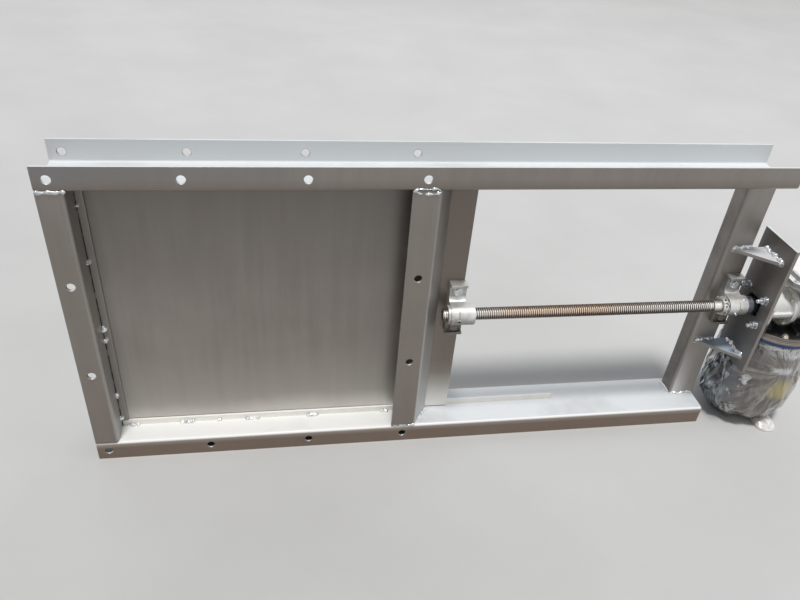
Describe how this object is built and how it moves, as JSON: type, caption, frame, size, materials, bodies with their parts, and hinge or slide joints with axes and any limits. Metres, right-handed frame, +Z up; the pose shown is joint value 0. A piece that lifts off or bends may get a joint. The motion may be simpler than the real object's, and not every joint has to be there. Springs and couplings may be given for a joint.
{
  "type": "slide gate valve",
  "caption": "Square duct slide gate valve: flanged steel frame, flat gate plate drawn along it by a trapezoidal screw, bearing housings and a film-wrapped electric actuator.",
  "frame": {"origin": "centre of the front flange's square bolt pattern, in the front flange's face", "axes": "+X is the way the gate opens, towards the actuator; +Y runs through the duct from front to rear; +Z is up as the valve stands"},
  "size_m": [1.7697, 0.2337, 0.73],
  "materials": {
    "silver_paint": "satin",
    "gate_paint": "satin",
    "silver_casting": "satin",
    "actuator_paint": "satin",
    "zinc_plate": "satin",
    "turned_steel": "satin",
    "screw_steel": "satin",
    "flange_steel": "satin",
    "blue_paint": "satin",
    "yellow_zinc": "satin",
    "film": "gloss"
  },
  "bodies": {
    "frame": {"top_rail": "silver_paint", "bottom_rail": "silver_paint", "left_rail": "silver_paint", "end_column": "silver_paint", "front_crossbar": "silver_paint", "rear_crossbar": "silver_paint", "front_left_guide": "silver_paint", "front_bottom_guide": "silver_paint", "front_top_guide": "silver_paint", "rear_left_guide": "silver_paint", "rear_bottom_guide": "silver_paint", "rear_top_guide": "silver_paint", "bearing_housing": "silver_casting", "bearing_foot_bolts": "zinc_plate", "bearing_bush": "turned_steel", "mount_plate": "silver_paint", "upper_gusset": "silver_paint", "lower_gusset": "silver_paint", "actuator_base_flange": "actuator_paint", "mounting_studs": "zinc_plate", "stud_nuts": "zinc_plate", "actuator_neck": "actuator_paint", "neck_rim_bolts": "yellow_zinc", "gear_case": "actuator_paint", "gear_case_cover": "actuator_paint", "cover_bolts": "yellow_zinc", "case_end_cap": "actuator_paint", "end_cap_bolts": "yellow_zinc", "drum_flange": "flange_steel", "drum_flange_bolts": "yellow_zinc", "drum_collar": "blue_paint", "wrapped_drum": "film", "film_tail": "film"},
    "gate": {"gate_plate": "gate_paint", "nut_housing": "silver_casting", "nut_foot_bolts": "zinc_plate", "drive_nut": "turned_steel"},
    "screw": {"drive_screw": "screw_steel", "lock_nut": "zinc_plate", "tab_washer": "zinc_plate", "coupling_sleeve": "zinc_plate"}
  },
  "joints": [
    {"name": "gate_slide", "type": "slide", "parent": "frame", "child": "gate", "axis": [1, 0, 0], "range_m": [0, 0.571]},
    {"name": "screw_turn", "type": "hinge", "parent": "frame", "child": "screw", "pos_m": [1.097, 0.0235, 0], "axis": [1, 0, 0], "range_deg": [-41112, 0]}
  ],
  "couplings": [
    {"joint": "screw_turn", "follows": "gate_slide", "rad_per_m": -1256.6}
  ]
}
